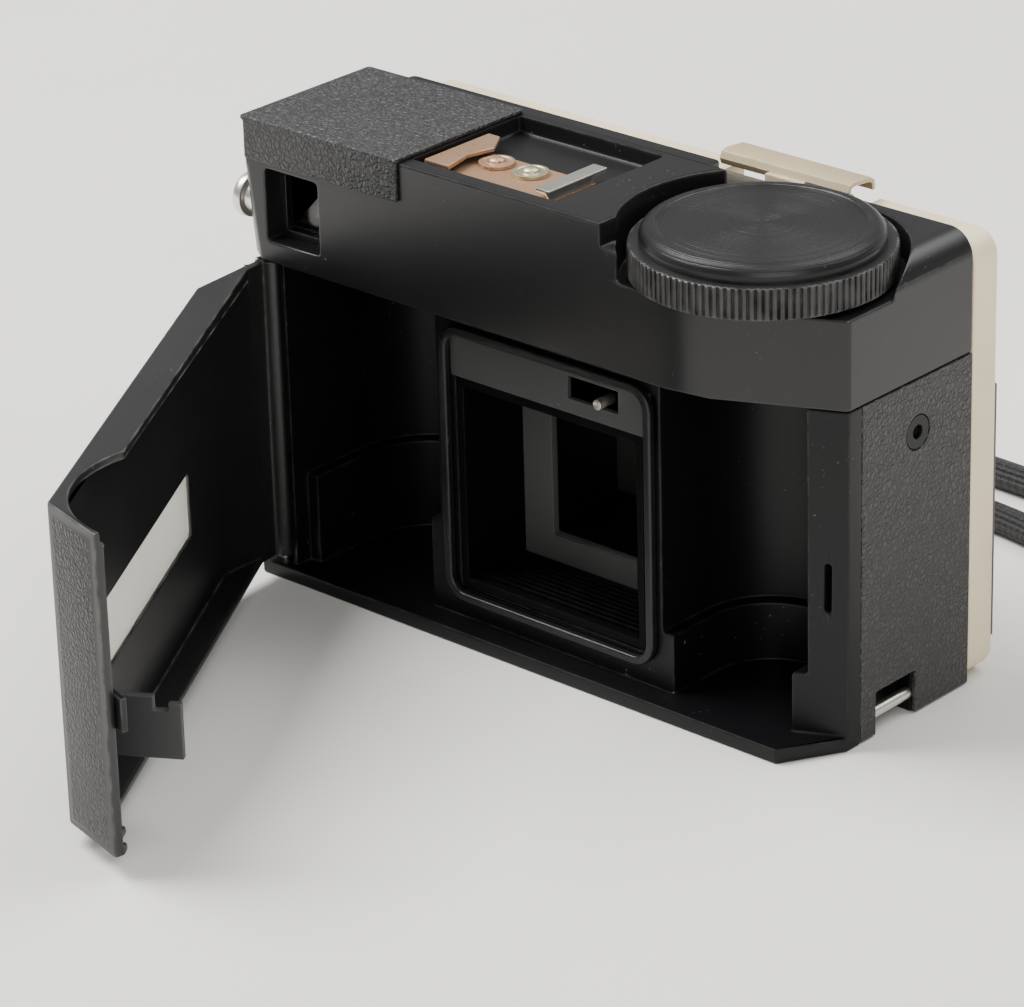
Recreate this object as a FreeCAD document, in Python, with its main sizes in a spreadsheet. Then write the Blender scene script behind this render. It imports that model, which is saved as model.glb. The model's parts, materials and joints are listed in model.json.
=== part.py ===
import FreeCAD, Part
import Sketcher

import math
import os
import re

# A cartridge-film snapshot camera, standing on its base with the back door open.
# Millimetres. The origin is the middle of the base, +Z is up, and the lens looks along +Y.

SIZES = {
    "body_width": 92.6, "body_depth": 32.4, "seam_height": 45.1, "floor_top": 2.0,
    "wall_left": 5.3, "wall_right": 6.8, "corner_radius": 3.5, "play": 0.05,
    "facet_start": 24.6, "facet_depth": 8.2, "facet_turn": 30.5, "facet_bulge": 0.9, "lip_end": 41.6,
    "block_top": 64.1, "block_front": 7.7, "block_end": 14.6, "deck_top": 61.0,
    "well_floor": 56.9, "well_radius": 17.6,
    "grain_thick": 0.6, "grain_end": 18.6, "band_bottom": 59.0,
    "wheel_across": 29.0, "wheel_along": 2.9, "wheel_radius": 16.4, "wheel_bottom": 57.5,
    "wheel_top": 61.5, "cap_radius": 15.0, "cap_top": 63.8, "shaft_radius": 2.2, "shaft_foot": 39.5,
    "fork_radius": 4.6, "fork_bottom": 43.4, "fork_top": 45.0,
    "gate_left": 15.6, "gate_right": 19.6, "gate_bottom": 4.6, "gate_top": 42.8,
    "gate_back": 13.4, "gate_seat": 12.3, "gate_rim": 1.2,
    "tunnel_left": 13.5, "tunnel_right": 17.5, "tunnel_bottom": 6.5, "tunnel_top": 35.6,
    "tunnel_wall": 1.2, "slot_low": 37.6, "slot_high": 40.6, "slot_left": 5.4, "slot_right": 13.6,
    "pin_radius": 0.7, "lens_across": 2.0, "lens_height": 21.05,
    "chamber_left": 12.0, "chamber_right": 10.6,
    "ledge_left": 14.5, "ledge_right": 10.0, "ledge_step": 1.8,
    "plate_thick": 4.9, "plate_top": 59.5, "trim_thick": 1.1, "trim_low": 4.4, "trim_high": 38.9,
    "barrel_radius": 12.5, "barrel_bore": 9.0, "barrel_front": 29.0, "ring_radius": 14.0,
    "finder_left": 41.5, "finder_right": 33.7, "finder_bottom": 49.4, "finder_top": 57.4,
    "shoe_across": 7.6, "shoe_width": 18.8, "shoe_back": 12.5, "shoe_front": 2.0, "shoe_floor": 61.9, "rail_front": 0.5, "rail_drop": 0.2,
    "shoe_sheet": 0.6, "shoe_lip": 1.8, "contact_flange": 2.3, "contact_dome": 1.1, "contact_along": 5.6,
    "bar_left": 7.0, "bar_right": 27.6, "bar_back": 16.9, "bar_front": 20.6,
    "bar_bottom": 58.6, "bar_top": 62.4,
    "hinge_across": 44.4, "hinge_along": 13.8, "hinge_radius": 0.8, "knuckle_radius": 1.7,
    "door_angle": 59.4, "door_back": 20.7, "door_left": 33.1, "door_right": 33.8,
    "door_end": 41.7, "door_end_back": 12.8, "door_wall": 1.4, "door_depth": 5.0,
    "door_bottom": 2.6, "door_top": 44.5,
    "window_left": 19.8, "window_right": 18.4, "window_low": 15.8, "window_high": 24.4,
    "notch_across": 28.0, "notch_along": 3.6, "notch_radius": 15.5, "tongue_across": 25.8,
    "tongue_low": 8.4, "tongue_high": 16.6,
    "panel_back": 5.4, "panel_thick": 0.6, "screw_along": 5.5, "screw_height": 38.1,
    "notch_back": 2.4, "notch_front": 5.4, "notch_high": 6.0, "notch_deep": 3.4,
    "blade_radius": 3.0, "stop_radius": 1.9, "cord_radius": 2.0,
}

# The wrist strap's route on the table, from the anchor round the loop and back to it.
STRAP_ROUTE = [
    (-33.0, 26.0, 4.6), (-33.4, 35.0, 3.6), (-32.0, 46.0, 2.2), (-24.5, 58.0, 2.05), (-10.0, 65.5, 2.05),
    (7.0, 67.6, 2.05), (24.0, 66.6, 2.05), (40.0, 69.4, 2.05), (54.4, 73.6, 2.05), (65.6, 71.1, 2.05),
    (71.8, 61.4, 2.05), (69.3, 50.2, 2.05), (59.6, 44.0, 2.05), (48.4, 46.5, 2.05), (37.0, 52.3, 2.05),
    (23.0, 55.6, 2.05), (7.0, 55.8, 2.05), (-8.0, 53.0, 2.05), (-20.0, 45.0, 2.2), (-26.4, 35.5, 3.6),
    (-27.6, 26.0, 4.6),
]

doc = FreeCAD.newDocument("camera")
sheet = doc.addObject("Spreadsheet::Sheet", "sizes")
for row, (alias, value) in enumerate(SIZES.items(), start=1):
    sheet.set(f"A{row}", alias)
    sheet.set(f"B{row}", str(value))
    sheet.setAlias(f"B{row}", alias)
doc.recompute()

NODES = []


def size(alias):
    """One driving dimension, read from the sheet."""
    return float(getattr(sheet, alias))


def bind(item, prop, text):
    """Bind a property to a formula in the sheet's aliases."""
    item.setExpression(prop, re.sub(r"[a-z][a-z_]+", lambda found: "sizes." + found.group(0), text))


def node(item, label):
    """Name a finished sub-part; the label is also its file's name."""
    item.Label = label
    NODES.append(item)
    return item


def box(name, across, along, up):
    """A block between pairs of formulas in X, Y and Z."""
    item = doc.addObject("Part::Box", name)
    spans = zip(("Length", "Width", "Height"), "xyz", (across, along, up))
    for prop, axis, (low, high) in spans:
        bind(item, prop, f"({high}) - ({low})")
        bind(item, f"Placement.Base.{axis}", low)
    return item


TURNS = {
    "x": FreeCAD.Rotation(FreeCAD.Vector(0, 1, 0), 90),
    "y": FreeCAD.Rotation(FreeCAD.Vector(1, 0, 0), -90),
    "z": FreeCAD.Rotation(),
}


def rod(name, axis, centre, radius, span):
    """A cylinder along one axis: its two other coordinates, its radius, and where it starts and ends."""
    item = doc.addObject("Part::Cylinder", name)
    item.Placement = FreeCAD.Placement(FreeCAD.Vector(), TURNS[axis])
    bind(item, "Radius", radius)
    bind(item, "Height", f"({span[1]}) - ({span[0]})")
    others = [letter for letter in "xyz" if letter != axis]
    for letter, text in zip(others, centre):
        bind(item, f"Placement.Base.{letter}", text)
    bind(item, f"Placement.Base.{axis}", span[0])
    return item


def fuse(name, *pieces):
    """One solid from pieces that overlap."""
    item = doc.addObject("Part::MultiFuse", name)
    item.Shapes = list(pieces)
    item.Refine = True
    return item


def cut(name, base, *tools):
    """A piece with one or more others taken out of it."""
    item = doc.addObject("Part::Cut", name)
    item.Base = base
    item.Tool = tools[0] if len(tools) == 1 else fuse(name + "_tools", *tools)
    item.Refine = True
    return item


def rounded(name, base, radius, chosen):
    """A piece with a fillet on each edge that the test chooses."""
    doc.recompute()
    edges = [(number, radius, radius) for number, edge in enumerate(base.Shape.Edges, start=1) if chosen(edge)]
    item = doc.addObject("Part::Fillet", name)
    item.Base = base
    item.Edges = edges
    return item


def upright(edge):
    """Whether an edge runs straight up."""
    ends = edge.BoundBox
    return ends.ZLength > 1.0 and ends.XLength < 1e-6 and ends.YLength < 1e-6


def prism(name, corners, bottom, top):
    """A padded outline, drawn on its own body's XY plane from corners given as formulas."""
    body = doc.addObject("PartDesign::Body", name)
    plane = next(p for p in body.Origin.OriginFeatures if p.Role == "XY_Plane")
    sketch = body.newObject("Sketcher::SketchObject", name + "_outline")
    sketch.AttachmentSupport = [(plane, "")]
    sketch.MapMode = "FlatFace"
    count = len(corners)
    ring = [FreeCAD.Vector(20 * math.cos(2 * math.pi * turn / count), 20 * math.sin(2 * math.pi * turn / count), 0)
            for turn in range(count)]
    for index in range(count):
        sketch.addGeometry(Part.LineSegment(ring[index], ring[(index + 1) % count]), False)
    for index in range(count):
        sketch.addConstraint(Sketcher.Constraint("Coincident", index, 2, (index + 1) % count, 1))
    for index, pair in enumerate(corners):
        for kind, text, start in zip(("DistanceX", "DistanceY"), pair, (ring[index].x, ring[index].y)):
            number = sketch.addConstraint(Sketcher.Constraint(kind, -1, 1, index, 1, start))
            bind(sketch, f"Constraints[{number}]", text)
    pad = body.newObject("PartDesign::Pad", name + "_pad")
    pad.Profile = sketch
    bind(pad, "Length", f"({top}) - ({bottom})")
    bind(body, "Placement.Base.z", bottom)
    sketch.Visibility = False
    return body


HALF = "body_width / 2"
BACK = "-body_depth / 2"
FRONT = "body_depth / 2"
FACET = [("facet_start", BACK), ("facet_turn", f"{BACK} + facet_bulge"),
         (f"{HALF} + 1", f"{BACK} + facet_bulge + (facet_depth - facet_bulge) * ({HALF} + 1 - facet_turn) / "
                         f"({HALF} - facet_turn)"),
         (f"{HALF} + 1", f"{BACK} - 6"), ("facet_start", f"{BACK} - 6")]
WHEEL = ("wheel_across", "-wheel_along")
HINGE = ("-hinge_across", "-hinge_along")
LENS = ("lens_across", "lens_height")


# --- Body shell: floor, walls, two film chambers and the tunnel behind the lens ---
def chamber(name, centre, back, radius, ledge, floor="floor_top"):
    """A film chamber: a round-fronted bay, narrower below its ledge."""
    upper = box(name + "_bay", (f"{centre} - {radius}", f"{centre} + {radius}"), (f"{BACK} - 1", back),
                (ledge, "seam_height + 1"))
    front = rod(name + "_front", "z", (centre, back), radius, (ledge, "seam_height + 1"))
    narrow = f"({radius} - ledge_step)"
    lower = box(name + "_foot", (f"{centre} - {narrow}", f"{centre} + {narrow}"), (f"{BACK} - 1", back),
                (floor, ledge))
    low_front = rod(name + "_foot_front", "z", (centre, back), narrow, (floor, ledge))
    return [upper, front, lower, low_front]


block = box("shell_block", (f"-{HALF}", HALF), (BACK, FRONT), ("0", "seam_height"))
shell_cuts = [
    box("back_opening", (f"-{HALF} + wall_left", f"{HALF} - wall_right"), (f"{BACK} - 1", "-gate_seat"),
        ("floor_top", "seam_height + 1")),
    box("tunnel_back", ("-tunnel_left", "tunnel_right"), ("-gate_seat - 1", "0"), ("tunnel_bottom", "tunnel_top")),
    box("tunnel_front", ("lens_across - 12", "lens_across + 12"), ("-1", f"{FRONT} + 1"),
        ("lens_height - 9.5", "lens_height + 9.5")),
    rod("hinge_space", "z", HINGE, "knuckle_radius + 0.4", ("floor_top", "seam_height + 1")),
    rod("hinge_hole", "z", HINGE, "hinge_radius", ("0.8", "floor_top + 1")),
    prism("shell_facet", FACET, "floor_top", "seam_height + 1"),
    prism("shell_left_facet", [("-38.4", f"{BACK}"), (f"-{HALF} - 1", f"{BACK} + 4.1"),
                               (f"-{HALF} - 1", f"{BACK} - 4"), ("-38.4", f"{BACK} - 4")],
          "floor_top", "seam_height + 1"),
    prism("lip_facet", [("lip_end", BACK), (f"{HALF} + 1", f"{BACK} + facet_depth + 1.6"),
                        (f"{HALF} + 1", f"{BACK} - 4"), ("lip_end", f"{BACK} - 4")], "-1", "floor_top"),
    box("panel_seat", (f"{HALF} - panel_thick", f"{HALF} + 1"), ("-panel_back", f"{FRONT} + 1"),
        ("-1", "seam_height + 1")),
    box("strap_notch", (f"{HALF} - notch_deep", f"{HALF} + 1"), ("-notch_back", "notch_front"),
        ("-1", "notch_high")),
    rod("screw_hole", "x", ("screw_along", "screw_height"), "1.2", (f"{HALF} - 5.6", f"{HALF} + 1")),
    box("catch_slot", (f"{HALF} - 2.8", f"{HALF} - 2.0"), (f"{BACK} + 4", "-6.5"), ("18.6", "25.0")),
    box("pin_space", ("slot_left - 1", "slot_right + 1"), ("-gate_seat - 1", "-4"), ("slot_low - 0.8", "slot_high + 0.8")),
    box("gate_seat_cut", ("-gate_left", "gate_right"), ("-gate_seat - 1", "-gate_seat + 0.8"),
        ("tunnel_top", "gate_top - gate_rim")),
]
shell_cuts += chamber("supply", "(-29.0)", "-2.0", "chamber_left", "ledge_left")
shell_cuts += chamber("takeup", "31.0", "-4.0", "chamber_right", "ledge_right")
for number, across in enumerate(("-36.0", "19.3"), start=1):
    shell_cuts.append(rod(f"base_screw_hole_{number}", "z", (across, "11.5"), "1.1", ("-1", "7")))
    shell_cuts.append(rod(f"base_screw_sink_{number}", "z", (across, "11.5"), "2.3", ("-1", "1.6")))
shell = cut("shell_raw", block, *shell_cuts)
shell_round = rounded("shell_round", shell, size("corner_radius"),
                      lambda edge: upright(edge) and edge.BoundBox.XMin < -size("body_width") / 2 + 0.01
                      and edge.BoundBox.YMin > 0)
node(shell_round, "body_shell")

# --- Top cover: a raised block on the left, a lower deck and the wheel's well on the right ---
cover_block = box("cover_block", (f"-{HALF}", "block_end"), (BACK, "block_front"), ("seam_height", "block_top"))
cover_deck = box("cover_deck", (f"-{HALF}", HALF), (BACK, FRONT), ("seam_height", "deck_top"))
cover_whole = fuse("cover_whole", cover_block, cover_deck)
cover_tools = [
    rod("wheel_well", "z", WHEEL, "well_radius", ("well_floor", "block_top + 1")),
    box("well_mouth", ("wheel_across - 3", f"{HALF} + 1"), (f"{BACK} - 1", "-wheel_along - 2"),
        ("well_floor", "block_top + 1")),
    rod("shaft_hole", "z", WHEEL, "shaft_radius + play", ("seam_height - 1", "well_floor + 1")),
    prism("cover_facet", FACET, "seam_height - 1", "block_top + 1"),
    box("finder_tunnel", ("-finder_left", "-finder_right"), (f"{BACK} - 1", f"{FRONT} + 1"),
        ("finder_bottom", "finder_top")),
    box("finder_step", ("-finder_left - 0.8", "-finder_right + 0.6"), (f"{BACK} - 1", f"{BACK} + 4.0"),
        ("finder_bottom - 1.2", "finder_top + 0.6")),
    box("shoe_recess", ("-shoe_across - shoe_width / 2 - 1.6", "-shoe_across + shoe_width / 2 + 3.6"),
        ("-shoe_back - 1", "shoe_front + 4.4"), ("shoe_floor", "block_top + 1")),
    rod("cover_hinge_hole", "z", HINGE, "hinge_radius", ("seam_height - 1", "seam_height + 2.2")),
    box("bar_space", ("bar_left - 0.5", "bar_right + 0.5"), ("bar_back - 2.8", f"{FRONT} + 1"),
        ("bar_bottom - 5.4", "deck_top + 1")),
    box("works_space", ("-29", "9.5"), ("-13", "13"), ("seam_height + 1.2", "57.5")),
    box("works_floor", ("-31", "11.5"), ("-14.5", "14.5"), ("seam_height - 1", "seam_height + 1.2")),
]
cover = cut("cover_raw", cover_whole, *cover_tools)


def deck_edge(edge):
    """The deck's right-hand top edge."""
    ends = edge.BoundBox
    return ends.XMin > size("body_width") / 2 - 0.01 and ends.ZMin > size("deck_top") - 0.01 and ends.YLength > 2


def left_corner(edge):
    """A tall corner at the cover's left end."""
    ends = edge.BoundBox
    return upright(edge) and ends.ZLength > 12 and ends.XMin < -size("body_width") / 2 + 0.01


cover_left = rounded("cover_left", cover, 1.0, left_corner)
node(rounded("cover_round", cover_left, 3.6, deck_edge), "top_cover")
node(box("works_plate", ("-30.8", "11.3"), ("-14.3", "14.3"), ("seam_height", "seam_height + 1.2")),
     "works_plate")

# --- Grained panel over the left of the block, and its band down the back ---
panel_top = box("grain_top", (f"-{HALF} + 0.4", "-grain_end"), (f"{BACK} - 0.6", "block_front - 0.4"),
                ("block_top", "block_top + grain_thick"))
panel_band = box("grain_band", (f"-{HALF} + 1.0", "-grain_end"), (f"{BACK} - 0.6", BACK),
                 ("band_bottom", "block_top + grain_thick"))
panel_fused = fuse("grain_fused", panel_top, panel_band)
node(rounded("grain_round", panel_fused, 0.5, lambda edge: edge.BoundBox.XMax < -size("body_width") / 2 + 0.5
             and edge.BoundBox.YLength < 1e-6), "grain_panel")

# --- Right-hand side panel with its screw and the strap bar in its notch ---
side_plate = box("side_plate", (f"{HALF} - panel_thick", HALF), ("-panel_back", FRONT), ("0.2", "seam_height - 0.1"))
node(cut("side_cut", side_plate,
         rod("side_screw_space", "x", ("screw_along", "screw_height"), "2.3", (f"{HALF} - 2", f"{HALF} + 1")),
         box("side_notch", (f"{HALF} - 2", f"{HALF} + 1"), ("-notch_back", "notch_front"), ("0", "notch_high"))),
     "side_panel")
screw_head = rod("screw_head", "x", ("screw_along", "screw_height"), "2.2", (f"{HALF} - panel_thick", f"{HALF} - 0.1"))
screw_stem = rod("screw_stem", "x", ("screw_along", "screw_height"), "1.2", (f"{HALF} - 5.6", f"{HALF} - 0.3"))
screw_socket = rod("screw_socket", "x", ("screw_along", "screw_height"), "0.9", (f"{HALF} - 1.0", f"{HALF} + 1"))
node(cut("side_screw_cut", fuse("side_screw_fused", screw_head, screw_stem), screw_socket), "side_screw")
node(rod("strap_bar_rod", "y", (f"{HALF} - 1.3", "2.6"), "0.8", ("-notch_back", "notch_front")), "strap_bar")

base_screws = []
for number, across in enumerate(("-36.0", "19.3"), start=1):
    head = rod(f"base_head_{number}", "z", (across, "11.5"), "2.3", ("0.5", "1.6"))
    stem = rod(f"base_stem_{number}", "z", (across, "11.5"), "1.1", ("1.2", "7"))
    slot = box(f"base_slot_{number}", (f"{across} - 2.4", f"{across} + 2.4"), ("11.25", "11.75"), ("0.2", "1.0"))
    base_screws.append(cut(f"base_screw_{number}", fuse(f"base_screw_body_{number}", head, stem), slot))
screws = doc.addObject("Part::Compound", "base_screws_pair")
screws.Links = base_screws
node(screws, "base_screws")

# --- Front plate, trim, lens and shutter ---
front_slab = box("front_slab", (f"-{HALF}", HALF), (FRONT, f"{FRONT} + plate_thick"), ("0.3", "plate_top"))
front_cut = cut("front_cut", front_slab,
                rod("barrel_hole", "y", LENS, "barrel_radius", (f"{FRONT} - 1", f"{FRONT} + plate_thick + 1")),
                box("finder_front_hole", ("-finder_left - 2", "-finder_right + 2"),
                    (f"{FRONT} - 1", f"{FRONT} + plate_thick + 1"), ("finder_bottom - 1.5", "finder_top + 1.5")),
                box("bar_gap", ("bar_left - 0.5", "bar_right + 0.5"), (f"{FRONT} - 1", f"{FRONT} + plate_thick + 1"),
                    ("bar_bottom - 3.4", "plate_top + 1")))


def plate_corner(edge):
    """The plate's four corners, seen from the front."""
    ends = edge.BoundBox
    ends_across = abs(abs(ends.XMin) - size("body_width") / 2) < 0.01 and ends.XLength < 1e-6
    return ends_across and ends.YLength > 1 and ends.ZLength < 1e-6


node(rounded("front_round", front_cut, 3.2, plate_corner), "front_plate")
PLATE = f"{FRONT} + plate_thick"
trim_slab = box("trim_slab", (f"-{HALF} + 0.6", f"{HALF} - 0.6"), (PLATE, f"{PLATE} + trim_thick"),
                ("trim_low", "trim_high"))
node(cut("trim_cut", trim_slab, rod("trim_hole", "y", LENS, "barrel_radius", ("15", "30")),
         box("trim_anchor_gap", ("-36.6", "-24.0"), ("15", "30"), ("0", "7.6"))), "front_trim")
barrel = cut("barrel", rod("barrel_out", "y", LENS, "barrel_radius", (FRONT, "barrel_front")),
             rod("barrel_in", "y", LENS, "barrel_bore", (f"{FRONT} - 1", "barrel_front + 1")))
node(barrel, "lens_barrel")
node(cut("ring_cut", rod("ring_out", "y", LENS, "ring_radius", ("24.0", "27.4")),
         rod("ring_in", "y", LENS, "barrel_radius", ("23", "30"))), "lens_ring")
node(rod("front_glass", "y", LENS, "barrel_bore", ("25.0", "27.2")), "front_element")
holder = cut("holder", rod("holder_out", "y", LENS, "barrel_bore", (FRONT, "22.0")),
             rod("holder_in", "y", LENS, "4.5", ("15", "23")))
node(holder, "lens_holder")
node(rod("rear_glass", "y", LENS, "4.5", ("17.2", "19.4")), "rear_element")
node(cut("shutter_plate_cut",
         box("shutter_sheet", ("lens_across - 12", "lens_across + 12"), ("14.2", "15.2"),
             ("lens_height - 9.5", "lens_height + 9.5")),
         rod("stop_hole", "y", LENS, "stop_radius", ("13", "17"))), "shutter_plate")
BLADE = ("lens_across + 4.4", "lens_height")
blade_disc = rod("blade_disc", "y", LENS, "blade_radius", ("13.2", "13.7"))
blade_arm = box("blade_arm", ("lens_across", "lens_across + 10.8"), ("13.2", "13.7"),
                ("lens_height - 1.2", "lens_height + 1.2"))
blade_slot = box("blade_slot", ("lens_across + 3.7", "lens_across + 10.1"), ("12", "15"),
                 ("lens_height - 0.65", "lens_height + 0.65"))
node(cut("blade_cut", fuse("blade_fused", blade_disc, blade_arm), blade_slot), "shutter_blade")
node(fuse("blade_pin_fused", rod("blade_pin_stem", "y", BLADE, "0.6", ("12.9", "14.2")),
          rod("blade_pin_head", "y", BLADE, "1.1", ("12.5", "12.9"))), "blade_pin")

# --- Film gate: light tunnel, baffle, raised bezel, top strip and sensing pin ---
tunnel = cut("tunnel_tube",
             box("tunnel_out", ("-tunnel_left", "tunnel_right"), ("-gate_seat", "-1.2"),
                 ("tunnel_bottom", "tunnel_top")),
             box("tunnel_in", ("-tunnel_left + tunnel_wall", "tunnel_right - tunnel_wall"), ("-gate_seat - 1", "0"),
                 ("tunnel_bottom + tunnel_wall", "tunnel_top - tunnel_wall")))
node(tunnel, "light_baffle")
node(cut("baffle_cut",
         box("baffle_sheet", ("-tunnel_left", "tunnel_right"), ("-1.2", "0"), ("tunnel_bottom", "tunnel_top")),
         box("baffle_hole", ("-tunnel_left + 6", "tunnel_right - 6"), ("-2", "1"),
             ("tunnel_bottom + 5", "tunnel_top - 5"))), "baffle_plate")
bezel = cut("bezel_cut",
            box("bezel_out", ("-gate_left", "gate_right"), ("-gate_back", "-gate_seat"), ("gate_bottom", "gate_top")),
            box("bezel_in", ("-gate_left + gate_rim", "gate_right - gate_rim"), ("-gate_back - 1", "-gate_seat + 1"),
                ("gate_bottom + gate_rim", "gate_top - gate_rim")))
node(rounded("bezel_round", bezel, 2.6, lambda edge: edge.BoundBox.YLength > 1.0 and edge.BoundBox.XLength < 1e-6
             and edge.BoundBox.ZLength < 1e-6 and (edge.BoundBox.XMin < -size("gate_left") + 0.01
                                                   or edge.BoundBox.XMin > size("gate_right") - 0.01)),
     "gate_bezel")
node(cut("strip_cut",
         box("strip_sheet", ("-gate_left + gate_rim", "gate_right - gate_rim"), ("-gate_seat", "-gate_seat + 0.8"),
             ("tunnel_top", "gate_top - gate_rim")),
         box("strip_slot", ("slot_left", "slot_right"), ("-gate_seat - 1", "-gate_seat + 2"),
             ("slot_low", "slot_high"))), "gate_strip")
PIN = ("slot_right - 1.6", "(slot_low + slot_high) / 2")
node(fuse("pin_fused", rod("pin_tip", "y", PIN, "pin_radius", ("-gate_back - 1.0", "-8.0")),
          box("pin_foot", ("slot_right - 3.4", "slot_right - 0.4"), ("-9.2", "-7.6"),
              ("slot_low + 0.2", "slot_high - 0.2"))), "sensing_pin")
node(fuse("clip_fused", box("clip_leaf", ("-29.0", "-23.4"), ("-7.4", "-6.8"), ("42.2", "45.1")),
          box("clip_foot", ("-29.0", "-23.4"), ("-7.4", "-3.6"), ("44.3", "45.1"))), "cartridge_clip")

# --- Viewfinder ---
node(cut("eyepiece_cut",
         box("eyepiece_out", ("-finder_left - 0.8", "-finder_right + 0.6"), (f"{BACK} + 2.8", f"{BACK} + 4.0"),
             ("finder_bottom - 1.2", "finder_top + 0.6")),
         box("eyepiece_in", ("-finder_left + 0.8", "-finder_right - 1.4"), (f"{BACK} + 1", f"{BACK} + 5"),
             ("finder_bottom + 0.6", "finder_top - 0.6"))), "eyepiece_frame")
node(box("eyepiece_pane", ("-finder_left", "-finder_right"), (f"{BACK} + 4.0", f"{BACK} + 5.4"),
         ("finder_bottom", "finder_top")), "eyepiece_glass")
node(box("finder_pane", ("-finder_left", "-finder_right"), (f"{FRONT} - 1.4", FRONT), ("finder_bottom", "finder_top")),
     "finder_glass")
node(box("finder_window", ("-finder_left - 2", "-finder_right + 2"), (f"{PLATE} - 1.8", f"{PLATE} - 0.4"),
         ("finder_bottom - 1.5", "finder_top + 1.5")), "finder_window")

# --- Accessory shoe ---
SHOE_L = "-shoe_across - shoe_width / 2"
SHOE_R = "-shoe_across + shoe_width / 2"
RAIL_UP = ("block_top - rail_drop - shoe_sheet", "block_top - rail_drop")
node(box("shoe_sheet_box", (f"{SHOE_L} - shoe_sheet", f"{SHOE_R} + shoe_sheet"), ("-shoe_back", "-2.8"),
         ("shoe_floor", "shoe_floor + shoe_sheet")), "shoe_plate")
left_wall = box("left_rail_wall", (f"{SHOE_L} - shoe_sheet", SHOE_L), ("-shoe_back", "-3.4"),
                ("shoe_floor + shoe_sheet", RAIL_UP[1]))
left_lip = prism("left_rail_lip", [(f"{SHOE_L} - shoe_sheet", "-shoe_back"), ("-13.4", "-shoe_back"),
                                   ("-14.4", "-8.0"), ("-13.4", "-4.0"), ("-15.6", "-rail_front"),
                                   (f"{SHOE_L} - shoe_sheet", "-rail_front")], *RAIL_UP)
node(fuse("left_rail_fused", left_wall, left_lip), "shoe_rail_left")
right_wall = box("right_rail_wall", (SHOE_R, f"{SHOE_R} + shoe_sheet"), ("-shoe_back + 1", "-3.4"),
                 ("shoe_floor + shoe_sheet", RAIL_UP[1]))
right_lip = box("right_rail_lip", (f"{SHOE_R} - shoe_lip", f"{SHOE_R} + shoe_sheet"),
                ("-shoe_back + 1", "-rail_front"), RAIL_UP)
node(fuse("right_rail_fused", right_wall, right_lip), "shoe_rail_right")
contacts = doc.addObject("Part::Compound", "contact_pair")
contacts.Links = [fuse(f"contact_{number}",
                       rod(f"contact_flange_{number}", "z", (across, "-contact_along"), "contact_flange",
                           ("shoe_floor + shoe_sheet", "shoe_floor + shoe_sheet + 0.5")),
                       rod(f"contact_dome_{number}", "z", (across, "-contact_along"), "contact_dome",
                           ("shoe_floor + shoe_sheet", "shoe_floor + shoe_sheet + 1.1")))
                  for number, across in enumerate(("-11.6", "-5.9"), start=1)]
node(contacts, "shoe_contacts")

# --- Advance wheel on its shaft, with the fork that turns the film spool ---
node(cut("wheel_cut", rod("wheel_rim", "z", WHEEL, "wheel_radius", ("wheel_bottom", "wheel_top")),
         rod("wheel_bore", "z", WHEEL, "shaft_radius", ("wheel_bottom - 1", "wheel_top + 1"))), "advance_wheel")
cap_disc = rod("cap_disc", "z", WHEEL, "cap_radius", ("wheel_top", "cap_top"))
node(rounded("cap_round", cap_disc, 1.3, lambda edge: edge.BoundBox.ZMin > size("cap_top") - 0.01), "wheel_cap")
node(rod("shaft_rod", "z", WHEEL, "shaft_radius", ("shaft_foot + 4", "wheel_top")), "wheel_shaft")
fork_ring = cut("fork_ring", rod("fork_out", "z", WHEEL, "fork_radius", ("fork_bottom", "fork_top")),
                rod("fork_in", "z", WHEEL, "shaft_radius", ("fork_bottom - 1", "fork_top + 1")))
fork_teeth = []
for number in range(3):
    tooth = doc.addObject("Part::Box", f"fork_tooth_{number + 1}")
    tooth.Length = 1.2
    tooth.Width = 1.2
    bind(tooth, "Height", "2.0")
    turn = math.radians(120 * number)
    arm = size("shaft_radius") + 0.6
    tooth.Placement = FreeCAD.Placement(
        FreeCAD.Vector(size("wheel_across") + arm * math.cos(turn), -size("wheel_along") + arm * math.sin(turn),
                       size("fork_bottom") - 1.6), FreeCAD.Rotation(FreeCAD.Vector(0, 0, 1), 120 * number))
    fork_teeth.append(tooth)
node(fuse("fork_fused", fork_ring, *fork_teeth), "drive_fork")

# --- Shutter release bar ---
bar_plate = box("bar_plate", ("bar_left", "bar_right"), ("bar_back - 2.6", "bar_front"), ("bar_top - 1.0", "bar_top"))
bar_drop = box("bar_drop", ("bar_left", "bar_right"), ("bar_front - 1.0", "bar_front"), ("bar_bottom", "bar_top"))
bar_stem = box("bar_stem", ("bar_left + 8", "bar_left + 14"), ("bar_back - 2.6", "bar_back - 1.4"),
               ("bar_bottom - 1.0", "bar_top - 0.5"))
node(fuse("bar_fused", bar_plate, bar_drop, bar_stem), "shutter_bar")

# --- Strap: side stud and the anchor that holds the cord's two ends ---
stud_neck = rod("stud_neck", "x", ("-12.5", "52.0"), "2.0", (f"-{HALF} - 1.6", f"-{HALF}"))
stud_head = rod("stud_head", "x", ("-12.5", "52.0"), "3.0", (f"-{HALF} - 3.0", f"-{HALF} - 1.6"))
node(fuse("stud_fused", stud_neck, stud_head), "strap_stud")
node(box("anchor_block", ("-36.4", "-24.2"), (PLATE, "26.0"), ("1.2", "7.4")), "strap_anchor")


# --- Back door, built closed and then swung open about its hinge ---
def swing(item):
    """Turn a door piece from closed to open."""
    centre = FreeCAD.Vector(-size("hinge_across"), -size("hinge_along"), 0)
    turn = FreeCAD.Rotation(FreeCAD.Vector(0, 0, 1), -size("door_angle"))
    item.Placement = FreeCAD.Placement(centre - turn.multVec(centre), turn).multiply(item.Placement)
    return item


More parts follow.
